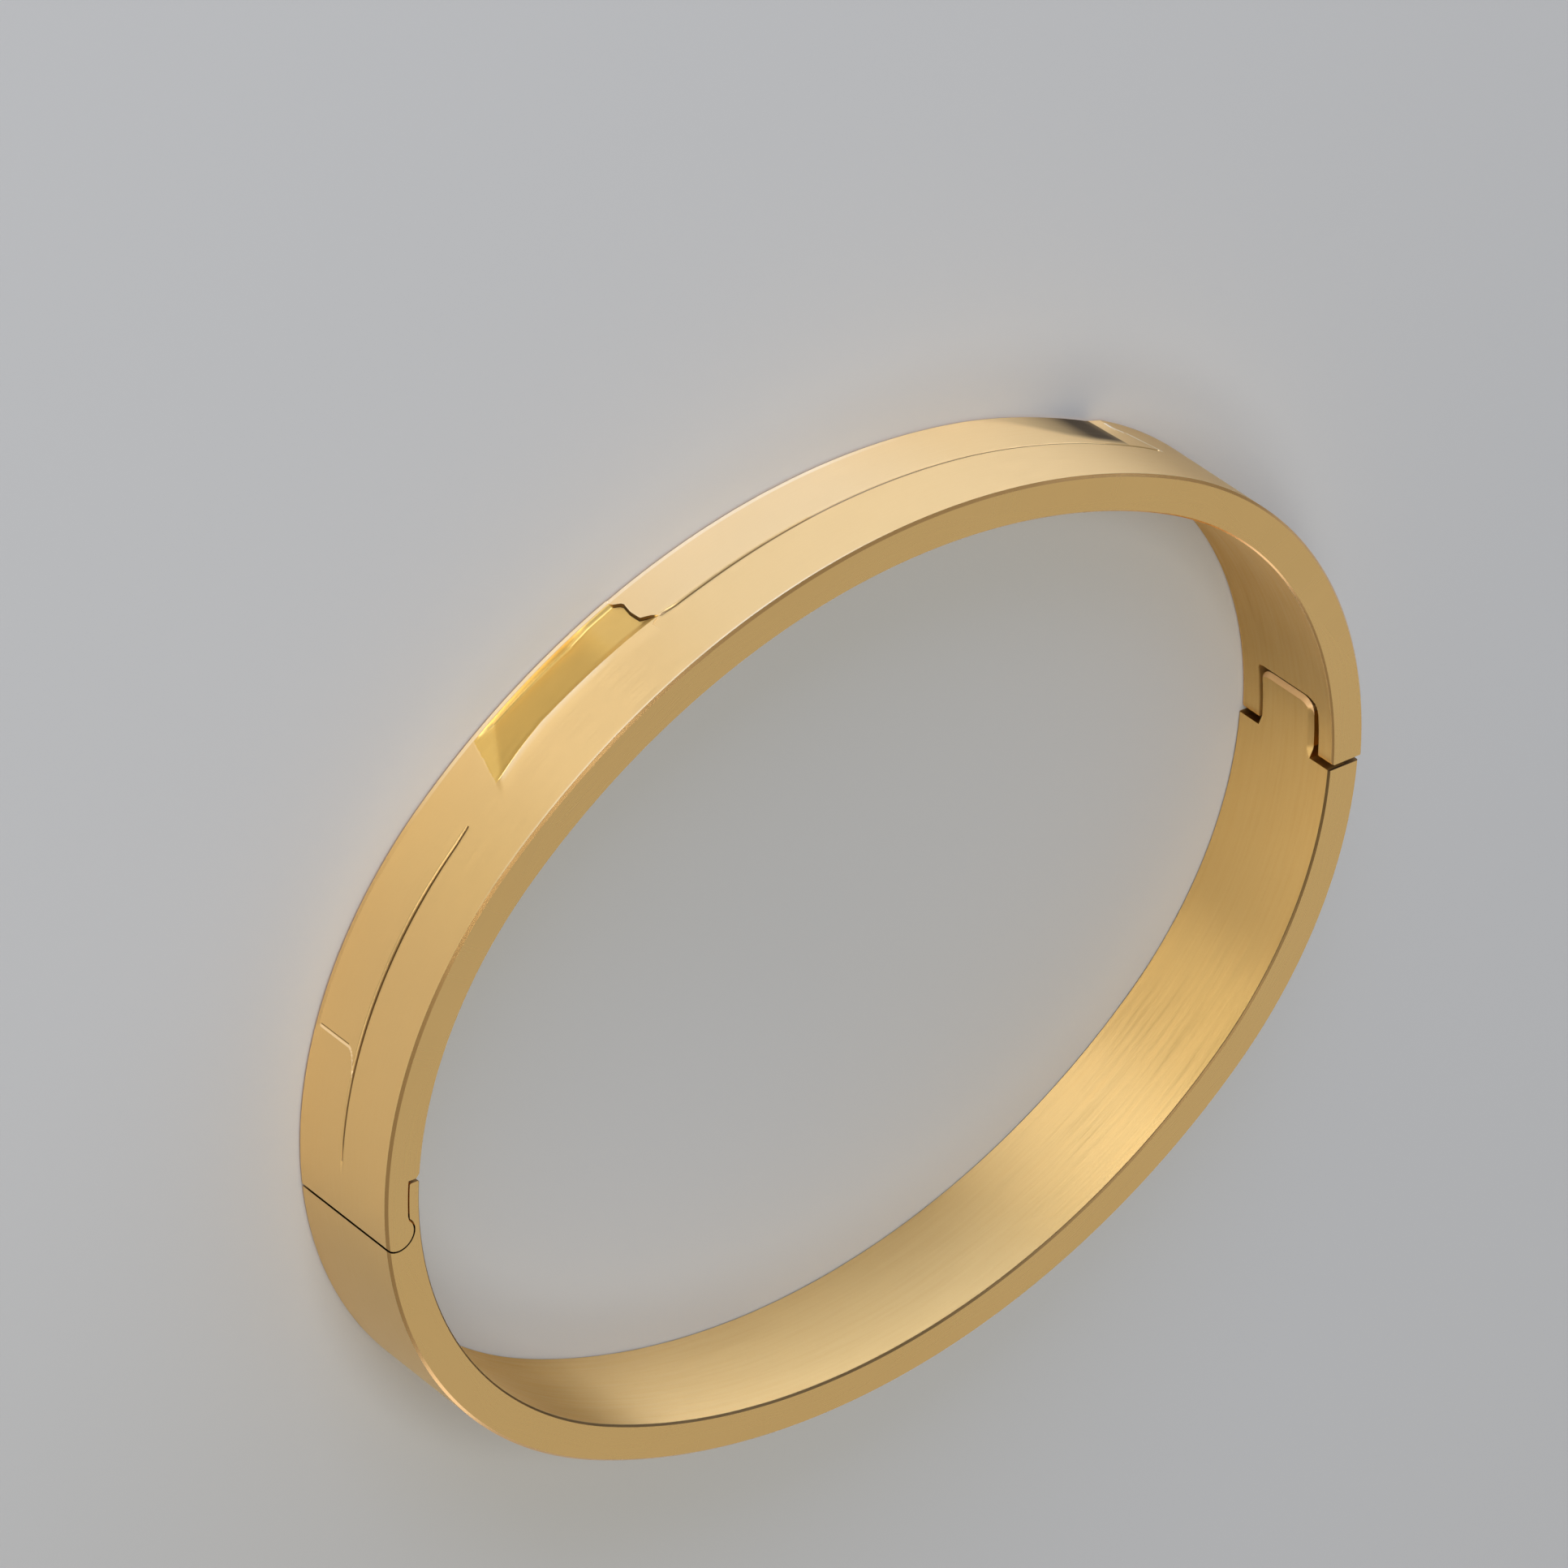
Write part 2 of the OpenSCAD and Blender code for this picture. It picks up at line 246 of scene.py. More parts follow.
# Lift of the decorated half's outer face at an angle and a height
def laneLift(angle, height):
    line = lineHeight(angle)
    ridge, floor = pocketStart(height)
    pastStep = share(angle, lanes["pocketTo"], lanes["pocketTo"] + lanes["wall"])
    inPocket = pastStep * share(ridge - angle, 0, ridge - floor)
    if height < line:
        lift = farLaneLift(angle, height, line, inPocket)
    else:
        lift = inPocket * alongPairs(lanes["lip"], height - line)
    besideLine = max(0, 1 - abs(height - line) / (lanes["grooveWidth"] / 2))
    return lift - lanes["grooveDepth"] * grooveShare(angle) * besideLine


# Painted shade (up to 1) and painted highlight (down to -1) that the shaded golds mix into their colour on
# the decorated half's outer face: highlight lines along the near and far rims, highlights on the pocket's
# lip, at its clasp end, on the plateau and along the ramp's edge; shade in the groove, on the pocket's
# step, wall and floor, and a dark painted reflection on the facet.
# A run is where a tone starts, is full, begins to fade and ends; a from is where it starts and is full.
paintedLaneTones = {"nearRim": -0.8, "nearRimRun": (84, 95, 120, 132), "nearRimMargin": 0.02,
             "farRim": -0.5, "farRimRun": (74, 84, 120, 128), "farRimTop": 0.36,
             "groove": [(100, 0.4), (124, 0.55), (148, 0.5), (158, 0.2)], "grooveFrom": (88, 98),
             "grooveReach": 0.16, "grooveSoft": 0.12,
             "step": 0.7, "stepWidth": 0.1, "stepLow": 0.6, "stepUnderLine": 0.15,
             "lip": -0.5, "lipTop": 0.4, "lipFade": 0.3,
             "wall": [(0.37, 0), (0.45, 0.68), (0.54, 0.68), (0.61, 0.12), (0.75, 0)], "wallFade": 1.5,
             "floor": 0.14, "floorFrom": (106.3, 108.8), "floorFade": 0.4, "floorLow": 0.7,
             "floorFarShare": 0.6, "end": -0.05, "endTo": 108, "endFade": 2,
             "plateau": -0.13, "plateauFrom": (72, 84), "ramp": -1, "rampWidth": 0.25, "rampLow": 0.5,
             "facet": [(54.5, 0.4), (55.3, 0.8), (56.3, 1), (58, 1), (60, 0.55), (63, 0.28), (66, 0.14),
                       (69, 0)], "facetFade": 0.2}


# Painted shade on the pocket's wall and floor, and painted highlight on its lip and at its clasp end
def paintedPocketTone(angle, height, line):
    ridge, floor = pocketStart(height)
    onFloor = share(angle, *paintedLaneTones["floorFrom"]) * share(floor - angle, 0, paintedLaneTones["floorFade"])
    if height > line:
        underTop = share(line + paintedLaneTones["lipTop"] - height, 0, paintedLaneTones["lipFade"])
        return paintedLaneTones["lip"] * onFloor * underTop
    farShare = paintedLaneTones["floorFarShare"]
    onFloor *= farShare + (1 - farShare) * height / line
    atEnd = share(paintedLaneTones["endTo"] - angle, 0, paintedLaneTones["endFade"])
    besideWall = share(height, lanes["rim"], paintedLaneTones["floorLow"])
    wall = alongPairs(paintedLaneTones["wall"], height) * share(ridge - angle, 0, paintedLaneTones["wallFade"])
    return wall + besideWall * (paintedLaneTones["floor"] * onFloor + paintedLaneTones["end"] * atEnd)


# Painted highlight on the plateau and along the ramp's edge, and a dark painted reflection on the facet
def paintedPlateauTone(angle, height, line):
    if angle > paintedLaneTones["plateauFrom"][0]:
        return paintedLaneTones["plateau"] * share(angle, *paintedLaneTones["plateauFrom"])
    fromEdge = abs(angle - alongPairs(lanes["rampEdge"], height))
    if fromEdge < paintedLaneTones["rampWidth"] and height > paintedLaneTones["rampLow"]:
        return paintedLaneTones["ramp"]
    if angle < lanes["facetTo"]:
        return 0
    beforeEdge = alongPairs(lanes["facetReach"], angle) - height / line
    return alongPairs(paintedLaneTones["facet"], angle) * share(beforeEdge, 0, paintedLaneTones["facetFade"])


# Whether a spot is on the step that ends the pocket, up to a distance under the line
def onPocketStep(angle, height, underLine):
    pastStep = angle - lanes["pocketTo"]
    inHeight = paintedLaneTones["stepLow"] < height < lineHeight(angle) - underLine
    return 0 <= pastStep < lanes["wall"] + paintedLaneTones["stepWidth"] and inHeight


# Painted shade or highlight at a spot of the decorated half's outer face: rims, groove, the pocket's step,
# then the pocket and the far lane
def paintedLaneShade(angle, height):
    line = lineHeight(angle)
    fromLine = abs(height - line)
    if height > oval["height"] - oval["rimWidth"] - paintedLaneTones["nearRimMargin"]:
        return paintedLaneTones["nearRim"] * between(angle, *paintedLaneTones["nearRimRun"])
    if height < paintedLaneTones["farRimTop"] and angle > paintedLaneTones["farRimRun"][0]:
        return paintedLaneTones["farRim"] * between(angle, *paintedLaneTones["farRimRun"])
    onGroove = min(grooveShare(angle), share(angle, *paintedLaneTones["grooveFrom"]))
    if onGroove > 0 and fromLine < paintedLaneTones["grooveReach"]:
        beside = share(paintedLaneTones["grooveReach"] - fromLine, 0, paintedLaneTones["grooveSoft"])
        return alongPairs(paintedLaneTones["groove"], angle) * onGroove * beside
    if onPocketStep(angle, height, paintedLaneTones["stepUnderLine"]):
        return paintedLaneTones["step"]
    if angle > lanes["pocketTo"]:
        return paintedPocketTone(angle, height, line)
    return 0 if height > line else paintedPlateauTone(angle, height, line)


# Where the decorated half's outer face takes another gold than satin, beside the sizes in lanes: the line
# gold paints shade in the groove, on the pocket's step and along the strip's line, the pocket gold paints
# the pocket's deeper shade, and the edge gold paints a highlight on the strip's end bevel
laneLines = {"grooveShare": 0.35, "grooveReach": 0.06, "stepUnderLine": 0.2,
             "bevelLow": 0.45, "bevelWidens": (2.8, 3.4),
             "stripLineFrom": 0.1, "stripLineReach": 0.08, "stripLineHeights": (0.6, 2.9)}


def laneFinishOrPaintedLight(angle, height):
    line = lineHeight(angle)
    if grooveShare(angle) > laneLines["grooveShare"] and abs(height - line) < laneLines["grooveReach"]:
        return "line"
    if height >= line:
        return "satin"
    if onPocketStep(angle, height, laneLines["stepUnderLine"]):
        return "line"
    if lanes["pocketTo"] < angle < pocketStart(height)[0] and lanes["rim"] < height:
        return "pocket"
    beforeEnd = stripEnd(height) - angle
    bevelWidth = lanes["stripBevel"] * (1 + share(height, *laneLines["bevelWidens"]))
    if 0 < beforeEnd < bevelWidth and laneLines["bevelLow"] < height:
        return "edge"
    fromStripLine = abs(beforeEnd - lanes["stripBevel"] - laneLines["stripLineFrom"])
    lowest, highest = laneLines["stripLineHeights"]
    if fromStripLine < laneLines["stripLineReach"] and lowest < height < highest:
        return "line"
    return "satin"


# How far a rounded corner draws an end in, at a distance from the side
def cornerInset(corner, fromSide):
    return corner - sqrt(max(corner ** 2 - max(corner - max(fromSide, 0), 0) ** 2, 0))


# Lift of the inside face of the decorated half, which the slot of the clasp is cut into
def slotLift(angle, height, inSlot):
    nearSide = min(height - clasp["slotLow"], clasp["slotHigh"] - height)
    corner = clasp["slotFarCorner"] if height < midHeight else clasp["slotNearCorner"]
    beyond = -(clasp["slotEnd"] + angle) * endDegree - cornerInset(corner, nearSide)
    chamfer = clasp["slotChamfer"]
    if inSlot and beyond > 0:
        edge = insideFace + chamfer
        return edge + (-clasp["slotSkin"] - edge) * share(beyond, 0, clasp["slotWall"])
    if inSlot:
        return insideFace + max(0, chamfer + beyond)
    return insideFace + max(0, chamfer + min(nearSide, beyond))


# A point of the side outline drawn in for a row of the rim; at the hinge it slides along the nose
def rimmed(outline, n, inset):
    angle, lift, kind = outline[n]
    if kind == "outer":
        return angle, lift - inset
    if kind == "nose" and lift > -inset:
        while outline[n][1] > -inset:
            n += 1
        before, high = outline[n - 1][:2]
        after, low = outline[n][:2]
        return before + (after - before) * (high + inset) / (high - low), -inset
    innerInset = max(0, inset - oval["rimWidth"] + oval["innerRim"])
    return angle, min(max(lift, insideFace + innerInset), -inset)


# Rows of a half: height, inset of the rim, and whether the row lies within the slot or the tongue
def heightRows(inner):
    width, innerWidth = oval["rimWidth"], oval["innerRim"]
    low = [(0, width, False), (innerWidth, width - innerWidth, False), (width, 0, False)]
    high = [(oval["height"] - height, inset, False) for height, inset, _ in low[::-1]]
    return low + inner + high


def plainRows(heights, within=False):
    return [(height, 0, within) for height in heights]


# Heights of the rows between the two rims, closer together where the relief and the corners need them
upperLow = [0.33, 0.4, 0.48, 0.56, 0.65, 0.8, 1.0, 1.2, 1.35]
upperInSlot = [1.4, 1.42, 1.5, 1.7, 1.9, 2.1, 2.3, 2.5, 2.7, 2.85, 3.0, 3.1, 3.2, 3.3, 3.4, 3.5,
               3.54, 3.57, 3.6, 3.63, 3.66, 3.7, 3.8, 3.95, 4.15, 4.35, 4.6,
               5.2, 5.35, 5.5, 5.65, 5.8, 5.95, 6.05, 6.1]
upperHigh = [6.15, 6.3, 6.7, 7.03]
upperRows = heightRows(plainRows(upperLow + [clasp["slotLow"]]) + plainRows(upperInSlot, True)
                       + plainRows([clasp["slotHigh"]] + upperHigh))
lowerLow = [0.6, 1.1]
lowerHigh = [6.2, 6.7]
cornerRise = [clasp["tongueCorner"] * (1 - cos(radians(turn))) for turn in range(0, 91, 15)]
chamferRise = [0.07, 0.14, clasp["tongueChamfer"]]
tongueRise = sorted(cornerRise + chamferRise)
tongueHeights = [clasp["tongueLow"] + rise for rise in tongueRise] + [midHeight]
tongueHeights += [clasp["tongueHigh"] - rise for rise in tongueRise[::-1]]
lowerRows = heightRows(plainRows(lowerLow + [clasp["tongueLow"]]) + plainRows(tongueHeights, True)
                       + plainRows([clasp["tongueHigh"]] + lowerHigh))


# Height of a point of the outer face: the rows bend so that one of them follows the line
def warpedHeight(angle, height):
    top, groove = lanes["warpTop"], lanes["grooveHeight"]
    lean = share(height, lanes["rim"], groove) * share(top - height, 0, top - groove)
    return height + (lineHeight(angle) - groove) * lean


# Points of one row of a half, round its side outline, as run, lift and height
def upperRing(row, outline):
    height, inset, inSlot = row
    ring = []
    for n, (_, _, kind) in enumerate(outline):
        angle, lift = rimmed(outline, n, inset)
        run = runOf(angle)
        rise = height
        if kind == "outer":
            rise = warpedHeight(angle, height)
            lift += laneLift(angle, rise)
            nearStep = max(0, 1 - abs(angle - lanes["pocketTo"]) / lanes["stepSpread"])
            run += (runOf(angle + alongPairs(lanes["stepShift"], rise)) - runOf(angle)) * nearStep
        elif lift < -clasp["slotSkin"] and angle < clasp["slotReach"]:
            lift = max(lift, slotLift(angle, height, inSlot))
        if angle < oval["joinAngle"]:
            lift += springRadius * (1 - cos(join - radians(angle)))
        ring.append((run, lift, rise))
    return ring


# Inner and outer points of the tongue at a height, from its root to its tip
def tonguePoints(height):
    side = min(height - clasp["tongueLow"], clasp["tongueHigh"] - height)
    tip = clasp["tongueTip"] + cornerInset(clasp["tongueCorner"], side) / endDegree
    chamfer = clasp["tongueChamfer"]
    reach = (clasp["shoulder"] - tip) * endDegree
    flat = reach - chamfer
    flatSteps = clasp["tongueFlatSteps"]
    steps = [flat * n / flatSteps for n in range(1, flatSteps + 1)]
    steps += [flat + chamfer * part for part in clasp["chamferShares"]] + [reach]
    inner, outer = [], []
    for step in steps:
        run = runOf(clasp["shoulder"]) - step
        cut = chamfer * share(step, 0, clasp["tongueRoot"]) - min(side, reach - step)
        inner.append((run, insideFace + max(0, cut), height))
        outer.append((run, -clasp["tongueOver"], height))
    return inner, outer


def lowerRing(row, outline):
    height, inset, inTongue = row
    ring = []
    for n in range(len(outline)):
        angle, lift = rimmed(outline, n, inset)
        ring.append((runOf(angle), lift, height))
    if inTongue:
        inner, outer = tonguePoints(height)
        ring = ring[:-1] + inner + outer[::-1] + ring[-1:]
    return ring


# Golds by name: satin, polished, inside, rim and flat are finishes; line and pocket paint shade, edge and
# bevel paint highlights
finishesAndPaintedLight = ["satin", "polished", "inside", "edge", "bevel", "rim", "flat", "line", "pocket"]


# Name of the finish or painted light gold of one face of a half
def finishOrPaintedLightOf(kind, angle, height, rounded, decorated):
    if kind in finishesAndPaintedLight:
        return kind
    # End faces take the line gold, painted shade where the halves meet
    if kind in ("cap", "nose"):
        return "line" if kind == "cap" else "polished"
    # The plain half's upper inner rim takes the line gold, a painted shadow line; its lower one stays
    # inside gold
    if rounded and kind == "inner" and not decorated:
        return "line" if height > midHeight else "inside"
    if rounded:
        return "rim"
    if kind == "outer":
        return laneFinishOrPaintedLight(angle, height) if decorated else "satin"
    return "inside" if kind == "inner" else "satin"


# Name of the face that follows a step of the tongue, counted from its root
def tongueKind(step):
    if step < clasp["tongueFlatSteps"]:
        return "inner"
    # The tongue's chamfer takes the bevel gold, a painted highlight
    return "bevel" if step < tongueSteps else "cap"


# Points closer than weld are merged, edges over the sharp angle stay sharp, and a face whose normal
# is more upright than lying takes its map from above
barMesh = {"weld": 0.0008, "sharp": 24, "lying": 0.7}


# Merged points, sharp edges, and the map along the band that the brush lines follow
def finishBar(bm):
    bmesh.ops.remove_doubles(bm, verts=bm.verts[:], dist=barMesh["weld"])
    bmesh.ops.recalc_face_normals(bm, faces=bm.faces[:])
    for edge in bm.edges:
        if len(edge.link_faces) == 2 and edge.calc_face_angle(0) > radians(barMesh["sharp"]):
            edge.smooth = False
    uv = bm.loops.layers.uv.new("bandMap")
    for one in bm.faces:
        lying = abs(one.normal.z) > barMesh["lying"]
        for loop in one.loops:
            place = loop.vert.co
            loop[uv].uv = (place.x, place.y if lying else place.z)


# Flat bar from its rows of points; the oval comes later
def flatBar(name, rings, rows, outline, mirrored):
    bm = bmesh.new()
    finishOrPaintedLight = bm.faces.layers.int.new("finishOrPaintedLight")
    # The shade of each point is painted light: towards 1 painted shade, towards -1 a painted highlight,
    # which the shaded golds mix into their colour
    shade = bm.verts.layers.float.new("shade")
    capCount = len(outline)
    tongueStart = capCount - 2

    def face(corners, kind):
        made = bm.faces.new(corners if mirrored else corners[::-1])
        made[finishOrPaintedLight] = finishesAndPaintedLight.index(kind)
        made.smooth = True
        return made

    grid = [[bm.verts.new((-x if mirrored else x, y, z)) for x, y, z in ring] for ring in rings]
    for ring, row in zip(grid, rows):
        for vert, (angle, _, kind) in zip(ring, outline):
            if kind == "outer" and not mirrored:
                vert[shade] = paintedLaneShade(angle, vert.co.z)
            # The plain half's inner rim gets painted shade, a dark line along its edge
            elif kind == "inner" and mirrored and row[1] > 0:
                vert[shade] = oval["innerRimPaintedShade"]
    for below, above, rowBelow, rowAbove in zip(grid, grid[1:], rows, rows[1:]):
        if len(below) == len(above):
            rounded = rowBelow[1] > 0 or rowAbove[1] > 0
            for n in range(len(below)):
                m = (n + 1) % len(below)
                onTongue = len(below) > capCount and n >= tongueStart
                kind = tongueKind(n - tongueStart) if onTongue else outline[n][2]
                angle = (outline[n][0] + outline[n + 1][0]) / 2 if n < capCount - 1 else 0
                faceHeight = (below[n].co.z + above[m].co.z) / 2
                face([below[n], above[n], above[m], below[m]],
                     finishOrPaintedLightOf(kind, angle, faceHeight, rounded, not mirrored))
        else:
            # The side wall of the tongue
            longer = below if len(below) > len(above) else above
            own = longer[tongueStart:]
            half = len(own) // 2
            inner, outer = own[:half], own[half:][::-1]
            for n in range(half - 1):
                corners = [inner[n], inner[n + 1], outer[n + 1], outer[n]]
                face(corners if longer is above else corners[::-1], "polished")
    for ring, turned in ((grid[0], False), (grid[-1], True)):
        flat = face(ring if turned else ring[::-1], "flat")
        flat.smooth = False
        for edge in flat.edges:
            edge.smooth = False
    finishBar(bm)
    openEdges = sum(not edge.is_manifold for edge in bm.edges)
    print(name, "faces", len(bm.faces), "edges not closed", openEdges)
    mesh = bpy.data.meshes.new(name)
    bm.to_mesh(mesh)
    bm.free()
    return mesh


# What the bending tree asks for, by the names of its inputs
bendSizes = {"End radius": endRadius, "Side radius": sideRadius, "End centre": endCentre,
             "Side centre": sideCentre, "Join angle": join, "Scale": mm}


# The tree that bends a flat bar round the oval: run along x, lift along y, height along z
def bendTree(materials):
    tree = bpy.data.node_groups.new("ovalBend", "GeometryNodeTree")
    tree.interface.new_socket("Flat bar", in_out="INPUT", socket_type="NodeSocketGeometry")
    for name in bendSizes:
        tree.interface.new_socket(name, in_out="INPUT", socket_type="NodeSocketFloat")
    tree.interface.new_socket("Geometry", in_out="OUTPUT", socket_type="NodeSocketGeometry")
    nodes, links = tree.nodes, tree.links
    given = nodes.new("NodeGroupInput").outputs

    def calc(operation, *values):
        node = nodes.new("ShaderNodeMath")
        node.operation = operation
        for socket, value in zip(node.inputs, values):
            if isinstance(value, (int, float)):
                socket.default_value = value
            else:
                links.new(value, socket)
        return node.outputs[0]

    place = nodes.new("GeometryNodeInputPosition")
    split = nodes.new("ShaderNodeSeparateXYZ")
    links.new(place.outputs[0], split.inputs[0])
    run, lift, height = split.outputs
    endR, sideR, joinTurn = given["End radius"], given["Side radius"], given["Join angle"]
    # How much of the run lies on end arcs and on side arcs, and the turn that it makes
    length = calc("ABSOLUTE", run)
    sideTurn = calc("SUBTRACT", pi, calc("MULTIPLY", joinTurn, 2))
    afterFirst = calc("SUBTRACT", length, calc("MULTIPLY", endR, joinTurn))
    onSide = calc("MINIMUM", calc("MAXIMUM", afterFirst, 0), calc("MULTIPLY", sideR, sideTurn))
    onEnds = calc("SUBTRACT", length, onSide)
    turn = calc("ADD", calc("DIVIDE", onEnds, endR), calc("DIVIDE", onSide, sideR))
    signed = calc("MULTIPLY", turn, calc("SIGN", run))
    cosine, sine = calc("COSINE", signed), calc("SINE", signed)
    # The arc that the point is on gives its radius and centre
    isEnd = calc("GREATER_THAN", calc("ABSOLUTE", cosine), calc("COSINE", joinTurn))
    isSide = calc("SUBTRACT", 1, isEnd)
    arcRadius = calc("ADD", calc("MULTIPLY", isEnd, endR), calc("MULTIPLY", isSide, sideR))
    radius = calc("ADD", arcRadius, lift)
    centreX = calc("MULTIPLY", calc("MULTIPLY", isEnd, calc("SIGN", cosine)), given["End centre"])
    centreY = calc("MULTIPLY", calc("MULTIPLY", isSide, calc("SIGN", sine)), given["Side centre"])
    x = calc("ADD", centreX, calc("MULTIPLY", radius, cosine))
    y = calc("SUBTRACT", calc("MULTIPLY", radius, sine), centreY)
    joined = nodes.new("ShaderNodeCombineXYZ")
    for socket, value in zip(joined.inputs, (x, y, height)):
        links.new(calc("MULTIPLY", value, given["Scale"]), socket)
    bend = nodes.new("GeometryNodeSetPosition")
    links.new(given["Flat bar"], bend.inputs["Geometry"])
    links.new(joined.outputs[0], bend.inputs["Position"])
    turnOut = nodes.new("GeometryNodeFlipFaces")
    links.new(bend.outputs[0], turnOut.inputs[0])
    whole = nodes.new("GeometryNodeRealizeInstances")
    links.new(turnOut.outputs[0], whole.inputs[0])
    last = whole.outputs[0]
    which = nodes.new("GeometryNodeInputNamedAttribute")
    which.data_type = "INT"
    which.inputs["Name"].default_value = "finishOrPaintedLight"
    for number, material in enumerate(materials):
        paint = nodes.new("GeometryNodeSetMaterial")
        paint.inputs["Material"].default_value = material
        links.new(last, paint.inputs["Geometry"])
        links.new(calc("COMPARE", which.outputs[0], number, 0.5), paint.inputs["Selection"])
        last = paint.outputs[0]
    links.new(last, nodes.new("NodeGroupOutput").inputs[0])
    return tree


# The mesh that an object shows with its modifiers
def plainMesh(worker, name):
    graph = bpy.context.evaluated_depsgraph_get()
    mesh = bpy.data.meshes.new_from_object(worker.evaluated_get(graph))
    mesh.name = name
    return mesh


def bentPiece(name, flat, tree):
    worker = bpy.data.objects.new(name, flat)
    bpy.context.scene.collection.objects.link(worker)
    modifier = worker.modifiers.new("bend", "NODES")
    modifier.node_group = tree
    for socket in tree.interface.items_tree:
        if socket.name in bendSizes:
            modifier[socket.identifier] = bendSizes[socket.name]
    mesh = plainMesh(worker, name)
    worker.modifiers.remove(modifier)
    worker.data = mesh
    return worker


# Sets a node's inputs by name: a socket of another node is linked, a plain value is written
def setInputs(links, node, values):
    for name, value in values.items():
        if isinstance(value, bpy.types.NodeSocket):
            links.new(value, node.inputs[name])
        else:
            node.inputs[name].default_value = value


def addNode(tree, kind, values):
    node = tree.nodes.new(kind)
    setInputs(tree.links, node, values)
    return node


def mixColours(tree, amount, first, second):
    node = tree.nodes.new("ShaderNodeMix")
    node.data_type = "RGBA"
    factor, start, end = [socket for socket in node.inputs if socket.enabled]
    tree.links.new(amount, factor)
    for socket, value in ((start, first), (end, second)):
        if isinstance(value, bpy.types.NodeSocket):
            tree.links.new(value, socket)
        else:
            socket.default_value = (*value, 1)
    return [socket for socket in node.outputs if socket.enabled][0]


goldLook = {
    "satin": {"colour": (0.82, 0.55, 0.225), "pale": (0.84, 0.58, 0.25), "rough": (0.38, 0.46),
              "stretch": (0.35, 14), "bump": 0.08, "anisotropy": 0.9},
    "polished": {"colour": (0.80, 0.53, 0.20), "pale": (0.83, 0.56, 0.23), "rough": (0.07, 0.11),
                 "stretch": (0.5, 6), "bump": 0.02, "anisotropy": 0.2},
    "inside": {"colour": (0.8, 0.53, 0.19), "pale": (0.84, 0.57, 0.22), "rough": (0.36, 0.56),
               "stretch": (0.15, 3.5), "bump": 1, "anisotropy": 1},
    "rim": {"colour": (0.95, 0.55, 0.2), "pale": (1, 0.6, 0.22), "rough": (0.18, 0.2),
            "stretch": (0.5, 6), "bump": 0, "anisotropy": 0},
    # The edge gold is a painted highlight: a pale, mostly diffuse gold that glows on the strip's end bevel
    # and the leaf's step chamfer
    "edge": {"colour": (0.92, 0.66, 0.34), "pale": (0.95, 0.7, 0.38), "rough": (0.4, 0.5),
             "stretch": (0.5, 6), "bump": 0.02, "anisotropy": 0, "metallic": 0.2},
    # The bevel gold is a painted highlight: a dimmed, partly diffuse gold whose even glow stands for the
    # soft lit line on the tongue's chamfer
    "bevel": {"colour": (0.64, 0.39, 0.16), "pale": (0.68, 0.42, 0.18), "rough": (0.4, 0.5),
              "stretch": (0.5, 6), "bump": 0.02, "anisotropy": 0, "metallic": 0.3},
    "flat": {"colour": (0.80, 0.53, 0.21), "pale": (0.85, 0.58, 0.25), "rough": (0.22, 0.3),
             "stretch": (0.3, 5), "bump": 0.03, "anisotropy": 0.3},
    # The line gold is painted shade: a dark gold for the groove, the pocket's step, the strip's line, the
    # halves' end faces and the plain half's upper inner rim
    "line": {"colour": (0.32, 0.2, 0.08), "pale": (0.36, 0.23, 0.1), "rough": (0.4, 0.5),
             "stretch": (0.5, 6), "bump": 0.02, "anisotropy": 0},
    # The pocket gold is painted shade: a deeper, more saturated gold for the light that bounces in the
    # hollow
    "pocket": {"colour": (0.88, 0.57, 0.15), "pale": (0.9, 0.59, 0.17), "rough": (0.34, 0.4),
               "stretch": (0.5, 6), "bump": 0.03, "anisotropy": 0.7},
}
# What all the golds share; the bump's depth is in metres, and the scale of the clouds is per metre. The
# shaded golds mix in a painted shade colour and a painted highlight colour by the shade attribute
goldGrain = {"turn": 0.25, "lineDetail": 4, "lineRough": 0.6, "lineRange": (0.3, 0.7), "cloudScale": 60,
             "bumpDepth": 0.00002, "shaded": ("satin", "pocket", "line"),
             "paintedShadeColour": (0.07, 0.04, 0.01), "paintedHighlightColour": (1, 0.86, 0.6)}


